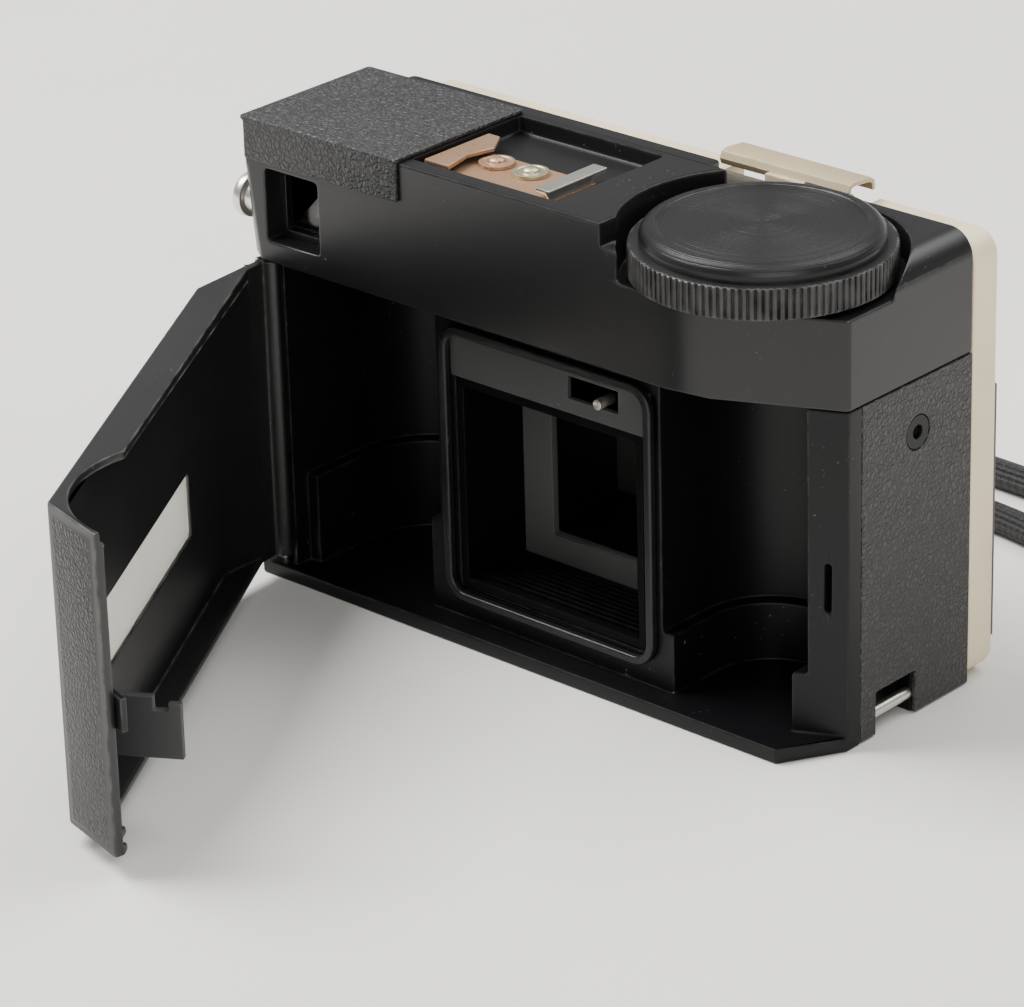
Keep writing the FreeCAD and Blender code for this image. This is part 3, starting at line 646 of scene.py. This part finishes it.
WHEEL_CENTRE = (0.029, -0.0029, 0.0)
GROUPS = {"wear": edge_wear_group(), "pebble": pebble_group()}
FINISHES = {finish.name: finish.material(GROUPS) for finish in (
    Finish("cover_black", (0.0055, 0.0055, 0.006), (0.07, 0.07, 0.07), (0.26, 0.40), relief=0.10, wear=0.5,
           specular=0.42),
    Finish("shell_black", (0.0022, 0.0022, 0.0028), (0.05, 0.048, 0.045), (0.32, 0.46), relief=0.15,
           wear=0.6, specular=0.24),
    Finish("gate_black", (0.005, 0.005, 0.0055), (0.08, 0.08, 0.08), (0.3, 0.42), relief=0.12, wear=1.0,
           specular=0.35),
    Finish("door_black", (0.009, 0.009, 0.009), (0.16, 0.155, 0.14), (0.3, 0.44), relief=0.25, wear=0.9),
    Finish("strip_grey", (0.034, 0.035, 0.035), (0.10, 0.10, 0.10), (0.4, 0.55), relief=0.2),
    Finish("baffle_grey", (0.06, 0.06, 0.058), (0.08, 0.08, 0.08), (0.5, 0.7), relief=0.2),
    Finish("tunnel_black", (0.001, 0.001, 0.0012), (0.01, 0.01, 0.01), (0.45, 0.6), relief=0.2, dust=0.80,
           specular=0.08),
    Finish("pebbled_skin", (0.026, 0.026, 0.026), (0.09, 0.09, 0.09), (0.38, 0.5), Surface.PEBBLE,
           relief=0.6, depth=0.00022, dust=0.76),
    Finish("wheel_black", (0.008, 0.008, 0.008), (0.11, 0.105, 0.10), (0.34, 0.48), relief=0.12, wear=0.9),
    Finish("cap_turned", (0.014, 0.014, 0.014), (0.10, 0.097, 0.094), (0.27, 0.34), Surface.TURNED,
           relief=0.8, depth=0.00012, centre=WHEEL_CENTRE, metal=0.5),
    Finish("cream_enamel", (0.72, 0.60, 0.40), (0.45, 0.37, 0.26), (0.35, 0.5), relief=0.1, coat=0.15,
           wear=0.4, dust=0.78, dust_colour=(0.36, 0.30, 0.22)),
    Finish("bar_tan", (0.50, 0.40, 0.25), (0.86, 0.80, 0.66), (0.3, 0.45), Surface.BRUSHED, metal=0.3,
           relief=0.12, wear=0.9, dust=0.74, dust_colour=(0.22, 0.17, 0.11)),
    Finish("mauve_trim", (0.05, 0.038, 0.046), (0.12, 0.10, 0.11), (0.4, 0.55), relief=0.2),
    Finish("copper_sheet", (0.40, 0.25, 0.155), (0.62, 0.47, 0.35), (0.34, 0.55), Surface.BRUSHED, metal=0.75,
           relief=0.25, dust=0.66, dust_colour=(0.16, 0.10, 0.07)),
    Finish("aged_brass", (0.42, 0.38, 0.26), (0.72, 0.68, 0.54), (0.28, 0.45), Surface.BRUSHED, metal=0.85,
           relief=0.2, dust=0.68, dust_colour=(0.12, 0.10, 0.06)),
    Finish("bright_steel", (0.70, 0.67, 0.61), (0.86, 0.84, 0.8), (0.22, 0.40), Surface.BRUSHED, metal=1.0,
           relief=0.15, dust=0.74, dust_colour=(0.26, 0.22, 0.18)),
    Finish("dull_steel", (0.16, 0.155, 0.145), (0.34, 0.33, 0.31), (0.36, 0.5), Surface.BRUSHED, metal=0.9,
           relief=0.2, dust=0.72, dust_colour=(0.08, 0.07, 0.06)),
    Finish("braided_black", (0.022, 0.022, 0.024), (0.05, 0.05, 0.05), (0.55, 0.7), Surface.BRAID,
           relief=0.9, depth=0.0006, wear=0.0),
    Clear("clear_moulding", (0.93, 0.93, 0.88)),
    Clear("frosted_window", (0.95, 0.93, 0.85), 0.3),
)}


# ---------------------------------------------------------------- sub-assemblies
@dataclass
class Body:
    """The moulded shell, the top cover, their skins and the small fixed metal."""

    moulded: dict[str, tuple[float, str]] = field(default_factory=lambda: {
        "body_shell": (0.35, "shell_black"), "top_cover": (0.45, "cover_black"),
        "grain_panel": (0.22, "pebbled_skin"), "side_panel": (0.2, "pebbled_skin"),
        "front_plate": (0.4, "cream_enamel"), "front_trim": (0.25, "mauve_trim"),
        "strap_anchor": (0.4, "cover_black"),
        "side_screw": (0.15, "shell_black"), "strap_stud": (0.35, "bright_steel"),
        "strap_bar": (0.1, "bright_steel"), "base_screws": (0.12, "dull_steel"),
    })
    slices: dict[str, tuple] = field(default_factory=lambda: {
        "top_cover": (((-46.3, -16.0, 62.4), (-46.3, -14.4, 45.1), (-43.6, -16.2, 45.1)),),
    })
    plain: dict[str, str] = field(default_factory=lambda: {
        "works_plate": "dull_steel", "hinge_pin": "bright_steel", "eyepiece_glass": "clear_moulding",
        "finder_glass": "clear_moulding", "finder_window": "clear_moulding",
    })

    def build(self) -> None:
        """Round and dress the mouldings, and dress the pieces that keep their CAD shape."""
        for node, (edge, finish) in self.moulded.items():
            dress(softened(node, edge, slices=self.slices.get(node, ())), FINISHES[finish])
        for node, finish in self.plain.items():
            dress(frame["nodes"][node], FINISHES[finish])
        eyepiece = picture_frame("eyepiece_frame", 0.9, 0.5, 0.08)
        dress(eyepiece, FINISHES["cover_black"])


@dataclass
class FilmGate:
    """The light tunnel with its ribs, the baffle, the bezel, the strip and the sensing pin."""

    ribs: int = 9
    rib_height: float = 0.5
    rib_width: float = 0.45
    wall: float = 1.2
    first_rib: float = 1.4
    spare_length: float = 2.0

    def build(self) -> None:
        """Make the gate and everything in it."""
        dress(picture_frame("gate_bezel", 1.2, 3.4, 0.3), FINISHES["gate_black"])
        mould((("light_baffle", 0.2, "tunnel_black"), ("baffle_plate", 0.2, "baffle_grey"),
               ("gate_strip", 0.12, "strip_grey"), ("cartridge_clip", 0.1, "dull_steel"),
               ("sensing_pin", 0.15, "bright_steel"), ("shutter_plate", 0.1, "dull_steel"),
               ("shutter_blade", 0.06, "gate_black"), ("blade_pin", 0.08, "bright_steel")))
        self.rib_floor()

    def rib_floor(self) -> None:
        """Lay ribs across the tunnel's floor to stop stray light."""
        low, high = (Vector(corner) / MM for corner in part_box("light_baffle"))
        floor = low.z + self.wall
        pitch = (high.y - low.y - self.spare_length) / self.ribs
        for number in range(self.ribs):
            along = low.y + self.first_rib + pitch * number
            rib = block(f"tunnel_rib_{number + 1}", (low.x + self.wall, along, floor),
                        (high.x - self.wall, along + self.rib_width, floor + self.rib_height), 0.1)
            placed(rib, "camera")
            dress(rib, FINISHES["tunnel_black"])


@dataclass
class Lens:
    """The barrel, its ring and the glass."""

    def build(self) -> None:
        """Round and dress the lens."""
        mould((("lens_barrel", 0.4, "cover_black"), ("lens_ring", 0.3, "cream_enamel"),
               ("lens_holder", 0.3, "shell_black"), ("front_element", 0.5, "clear_moulding"),
               ("rear_element", 0.4, "clear_moulding")))


@dataclass
class Wheel:
    """The thumbwheel: a ribbed ring under a turned cap."""

    ribs: int = 112
    rib_depth: float = 0.5
    shoulder: float = 1.7
    face_inset: float = 0.35
    groove_rim: float = 0.12
    lip_width: float = 0.15
    lip_depth: float = 0.16
    face_rings: tuple[float, float] = (4.0, 4.5)

    def build(self) -> None:
        """Model the ring and the cap, and dress the shaft and the fork."""
        self.ring()
        self.cap()
        dress(frame["nodes"]["wheel_shaft"], FINISHES["bright_steel"])
        dress(frame["nodes"]["drive_fork"], FINISHES["gate_black"])

    def ring(self) -> None:
        """Cut ribs into the side of a round blank."""
        low, high = (Vector(corner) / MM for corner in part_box("advance_wheel"))
        middle = (low + high) / 2
        radius = (high.x - low.x) / 2
        ring = disc("wheel_ribbed", tuple(middle), radius, high.z - low.z, sides=self.ribs * 2)
        axis = Vector(middle) * MM
        step = math.pi / self.ribs

        def groove(centre: Vector, normal: Vector) -> bool:
            """Every other side face is a groove."""
            turn = math.atan2(centre.y - axis.y, centre.x - axis.x)
            return abs(normal.z) < 0.5 and round((turn + math.pi) / step - 0.5) % 2 == 0

        pick_faces(ring, groove)
        with editing(ring):
            bpy.ops.mesh.inset(thickness=self.groove_rim * MM, depth=-self.rib_depth * MM, use_individual=True)
        bevelled(ring, 0.14, 1, 50.0)
        placed(ring, "wheel")
        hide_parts("advance_wheel")
        dress(ring, FINISHES["wheel_black"])

    def cap(self) -> None:
        """Round a blank's shoulder and sink its face a little."""
        low, high = (Vector(corner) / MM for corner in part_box("wheel_cap"))
        middle = (low + high) / 2
        cap = disc("wheel_cap_turned", tuple(middle), (high.x - low.x) / 2, high.z - low.z, sides=128)
        pick_faces(cap, lambda centre, normal: normal.z > 0.9)
        with editing(cap):
            bpy.ops.mesh.bevel(offset=self.shoulder * MM, segments=8, affect="EDGES")
        top = high.z * MM
        pick_faces(cap, lambda centre, normal: normal.z > 0.999 and centre.z > top - 1e-5)
        with editing(cap):
            bpy.ops.mesh.inset(thickness=self.face_inset * MM, depth=0)
            bpy.ops.mesh.inset(thickness=self.lip_width * MM, depth=-self.lip_depth * MM)
            for width in self.face_rings:
                bpy.ops.mesh.inset(thickness=width * MM, depth=0)
        smooth(cap, 40.0)
        placed(cap, "wheel")
        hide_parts("wheel_cap")
        dress(cap, FINISHES["cap_turned"])


@dataclass
class Shoe:
    """The accessory shoe's floor, rails and domed contacts."""

    dome_sides: int = 48
    flange_height: float = 0.5
    dome_radius: float = 1.2

    def build(self) -> None:
        """Round the sheet metal and raise the contacts."""
        mould((("shoe_plate", 0.15, "copper_sheet"), ("shoe_rail_left", 0.2, "copper_sheet"),
               ("shoe_rail_right", 0.28, "bright_steel")))
        low, high = (Vector(corner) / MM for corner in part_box("shoe_contacts"))
        radius = (high.y - low.y) / 2
        pieces = [self.contact(number, (across, (low.y + high.y) / 2, low.z), radius, high.z - low.z)
                  for number, across in enumerate((low.x + radius, high.x - radius), start=1)]
        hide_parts("shoe_contacts")

    def contact(self, number: int, foot: Point, radius: float, height: float) -> bpy.types.Object:
        """Raise a dome out of a round flange.

        Args:
            number: 1 for the left contact and 2 for the right.
            foot: the middle of its underside in millimetres.
            radius: the flange's radius in millimetres.
            height: the dome's height above the underside in millimetres.

        Returns:
            The new contact.
        """
        middle = (foot[0], foot[1], foot[2] + self.flange_height / 2)
        contact = disc(f"shoe_contact_{number}", middle, radius, self.flange_height, sides=self.dome_sides)
        pick_faces(contact, lambda centre, normal: normal.z > 0.9)
        rise = height - self.flange_height
        rim, groove = 0.35, 0.15
        steps = ((rim, 0.0), (groove, -0.12), (radius - (rim + groove) - self.dome_radius, 0.0),
                 (0.15, rise * 0.6), (0.3, rise * 0.3), (0.4, rise * 0.2))
        with editing(contact):
            for inward, up in steps:
                bpy.ops.mesh.inset(thickness=inward * MM, depth=up * MM)
        bevelled(contact, 0.06, 2, 30.0)
        placed(contact, "camera")
        dress(contact, FINISHES["copper_sheet" if number == 1 else "aged_brass"])
        return contact


@dataclass
class ReleaseBar:
    """The folded sheet-metal bar that works the shutter.

    The profile runs through the section's back and height, and the stem's corners are given from
    the bar's left end.
    """

    profile: tuple[tuple[float, float], ...] = (
        (20.5, 60.6), (20.4, 61.7), (19.8, 62.1), (17.6, 62.3), (16.6, 62.4), (15.9, 62.2), (15.6, 61.6),
        (15.8, 61.0), (16.5, 60.8))
    sheet: float = 0.6
    stem_low: Point = (8.0, 14.4, 57.6)
    stem_high: Point = (14.0, 15.4, 61.6)

    def build(self) -> None:
        """Extrude an edge along the bar's folded section, then give it its thickness."""
        low, high = (Vector(corner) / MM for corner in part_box("shutter_bar"))
        deselect()
        first, second = self.profile[:2]
        bpy.ops.mesh.primitive_plane_add(size=1.0, location=(0, 0, 0))
        bar = bpy.context.active_object
        bar.name = "release_bar_folded"
        ends = {-1: low.x, 1: high.x}
        folds = {-1: first, 1: second}
        for vertex in bar.data.vertices:
            along, up = folds[round(2 * vertex.co.y)]
            vertex.co = (ends[round(2 * vertex.co.x)] * MM, along * MM, up * MM)
        for before, after in zip(self.profile[1:], self.profile[2:]):
            end = Vector((0.0, before[0], before[1])) * MM
            pick_edges(bar, lambda one, two: all((spot - end).yz.length < 1e-6 for spot in (one, two)))
            bpy.ops.object.mode_set(mode="EDIT")
            move = (0.0, (after[0] - before[0]) * MM, (after[1] - before[1]) * MM)
            bpy.ops.mesh.extrude_edges_move(TRANSFORM_OT_translate={"value": move})
            bpy.ops.object.mode_set(mode="OBJECT")
        wall = bar.modifiers.new("sheet", "SOLIDIFY")
        wall.thickness = self.sheet * MM
        wall.offset = 0.0
        bpy.ops.object.modifier_apply(modifier=wall.name)
        with editing(bar):
            bpy.ops.mesh.select_all(action="SELECT")
            bpy.ops.mesh.normals_make_consistent(inside=False)
        bevelled(bar, 0.14, 2, 50.0)
        placed(bar, "release")
        dress(bar, FINISHES["bar_tan"])
        stem = block("release_bar_stem", (low.x + self.stem_low[0], *self.stem_low[1:]),
                     (low.x + self.stem_high[0], *self.stem_high[1:]), 0.2)
        placed(stem, "release")
        dress(stem, FINISHES["bar_tan"])
        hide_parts("shutter_bar")


@dataclass
class Door:
    """The back door: its tray, window, pressure spring and catch."""

    open_angle: float = 59.4
    border: float = 0.9
    raised: float = 0.12
    closed_faces: tuple[Point, ...] = ((0.0, -1.0, 0.0), (1.0, -1.05, 0.0))

    def build(self) -> None:
        """Round and dress the door's pieces, and cover its outside with leathercloth."""
        mould((("door_spring", 0.15, "strip_grey"), ("door_hook", 0.15, "gate_black"),
               ("door_window", 0.12, "frosted_window")))
        tray = softened("back_door", 0.4)
        dress(tray, FINISHES["door_black"])
        self.skin(tray)

    def skin(self, tray: bpy.types.Object) -> None:
        """Raise the outer faces a little inside a plain border and give them leathercloth.

        Args:
            tray: the door's moulding.
        """
        turn = Matrix.Rotation(-math.radians(self.open_angle), 3, "Z")
        outward = [turn @ Vector(way).normalized() for way in self.closed_faces]
        tray.data.materials.append(FINISHES["pebbled_skin"])
        pick_faces(tray, lambda centre, normal: any(normal.dot(way) > 0.995 for way in outward))
        with editing(tray):
            bpy.ops.mesh.inset(thickness=self.border * MM, depth=self.raised * MM)
            tray.active_material_index = 1
            bpy.ops.object.material_slot_assign()


@dataclass
class Strap:
    """The braided wrist strap, a loop with both ends in the anchor."""

    diameter: float = 0.004
    route: tuple[Point, ...] = (
        (-0.0330, 0.0260, 0.0046), (-0.0334, 0.0350, 0.0036), (-0.0320, 0.0460, 0.0022),
        (-0.0245, 0.0580, 0.00205), (-0.0100, 0.0655, 0.00205), (0.0070, 0.0676, 0.00205),
        (0.0240, 0.0666, 0.00205), (0.0400, 0.0694, 0.00205), (0.0544, 0.0736, 0.00205),
        (0.0656, 0.0711, 0.00205), (0.0718, 0.0614, 0.00205), (0.0693, 0.0502, 0.00205),
        (0.0596, 0.0440, 0.00205), (0.0484, 0.0465, 0.00205), (0.0370, 0.0523, 0.00205),
        (0.0230, 0.0556, 0.00205), (0.0070, 0.0558, 0.00205), (-0.0080, 0.0530, 0.00205),
        (-0.0200, 0.0450, 0.0022), (-0.0264, 0.0355, 0.0036), (-0.0276, 0.0260, 0.0046))

    def build(self) -> None:
        """Lay the strap's curve along its route."""
        line = bpy.data.curves.new("strap_braid", "CURVE")
        line.dimensions = "3D"
        line.bevel_depth = self.diameter / 2
        line.bevel_resolution = 6
        line.resolution_u = 10
        line.use_fill_caps = True
        spline = line.splines.new("NURBS")
        spline.points.add(len(self.route) - 1)
        for point, place in zip(spline.points, self.route):
            point.co = (*place, 1.0)
        spline.order_u = 3
        spline.use_endpoint_u = True
        braid = bpy.data.objects.new("strap_braid", line)
        bpy.context.scene.collection.objects.link(braid)
        dress(braid, FINISHES["braided_black"])
        placed(braid, "camera")
        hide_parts("strap_cord")


@dataclass(frozen=True)
class Studio:
    """The camera, the soft lights and the pale table."""

    place: Point = (0.3663, -0.4138, 0.2678)
    azimuth: float = 42.72
    elevation: float = 24.35
    roll: float = 1.58
    lens: float = 166.7
    lamps: tuple[tuple[str, Point, float, float], ...] = (
        ("key", (-0.55, -0.25, 0.95), 0.6, 24.0), ("top", (0.2, 0.5, 0.9), 0.8, 9.0),
        ("fill", (0.9, -0.7, 0.55), 0.9, 7.0))

    def build(self) -> None:
        """Set up the view, the lights and the table."""
        self.camera()
        self.lights()
        self.table()

    def camera(self) -> None:
        """Stand the camera where the view is taken from."""
        turn, lift, tilt = (math.radians(value) for value in (self.azimuth, self.elevation, self.roll))
        back = Vector((math.sin(turn) * math.cos(lift), -math.cos(turn) * math.cos(lift), math.sin(lift)))
        right = (-back).cross(Vector((0, 0, 1))).normalized()
        down = (-back).cross(right)
        across = right * math.cos(tilt) + down * math.sin(tilt)
        up = right * math.sin(tilt) - down * math.cos(tilt)
        made = bpy.data.cameras.new("view")
        made.sensor_width = 36.0
        made.lens = self.lens
        made.clip_start = 0.01
        made.clip_end = 20.0
        stand = bpy.data.objects.new("view", made)
        bpy.context.scene.collection.objects.link(stand)
        stand.matrix_world = Matrix.Translation(self.place) @ Matrix((across, up, back)).transposed().to_4x4()
        bpy.context.scene.camera = stand

    def lights(self) -> None:
        """Hang the soft lights."""
        for name, spot, size, power in self.lamps:
            lamp = bpy.data.lights.new(name, "AREA")
            lamp.size = size
            lamp.energy = power
            hung = bpy.data.objects.new(name, lamp)
            hung.location = spot
            hung.rotation_euler = (-Vector(spot)).to_track_quat("-Z", "Y").to_euler()
            bpy.context.scene.collection.objects.link(hung)
        world = bpy.data.worlds.new("room")
        world.use_nodes = True
        world.node_tree.nodes["Background"].inputs["Color"].default_value = (0.92, 0.92, 0.93, 1)
        world.node_tree.nodes["Background"].inputs["Strength"].default_value = 0.42
        bpy.context.scene.world = world

    def table(self) -> None:
        """Lay the pale table under the camera."""
        deselect()
        bpy.ops.mesh.primitive_plane_add(size=8.0, location=(0, 0, 0))
        table = bpy.context.active_object
        table.name = "table"
        made = bpy.data.materials.new("pale_table")
        made.use_nodes = True
        wire = Wiring(made.node_tree)
        shader = made.node_tree.nodes["Principled BSDF"]
        tone = wire.blend(wire.ramp(wire.noise(9.0, 4.0), 0.3, 0.7), (0.70, 0.685, 0.65), (0.77, 0.755, 0.72))
        wire.join(tone, shader.inputs["Base Color"])
        shader.inputs["Roughness"].default_value = 0.85
        dress(table, made)


def main() -> None:
    """Build the whole object."""
    logging.basicConfig(level=logging.INFO, format="%(name)s: %(message)s")
    for part in (Studio(), Strap(), Body(), FilmGate(), Lens(), Wheel(), Shoe(), ReleaseBar(), Door()):
        LOG.info("building %s", type(part).__name__)
        part.build()


if __name__ == "__main__":
    main()
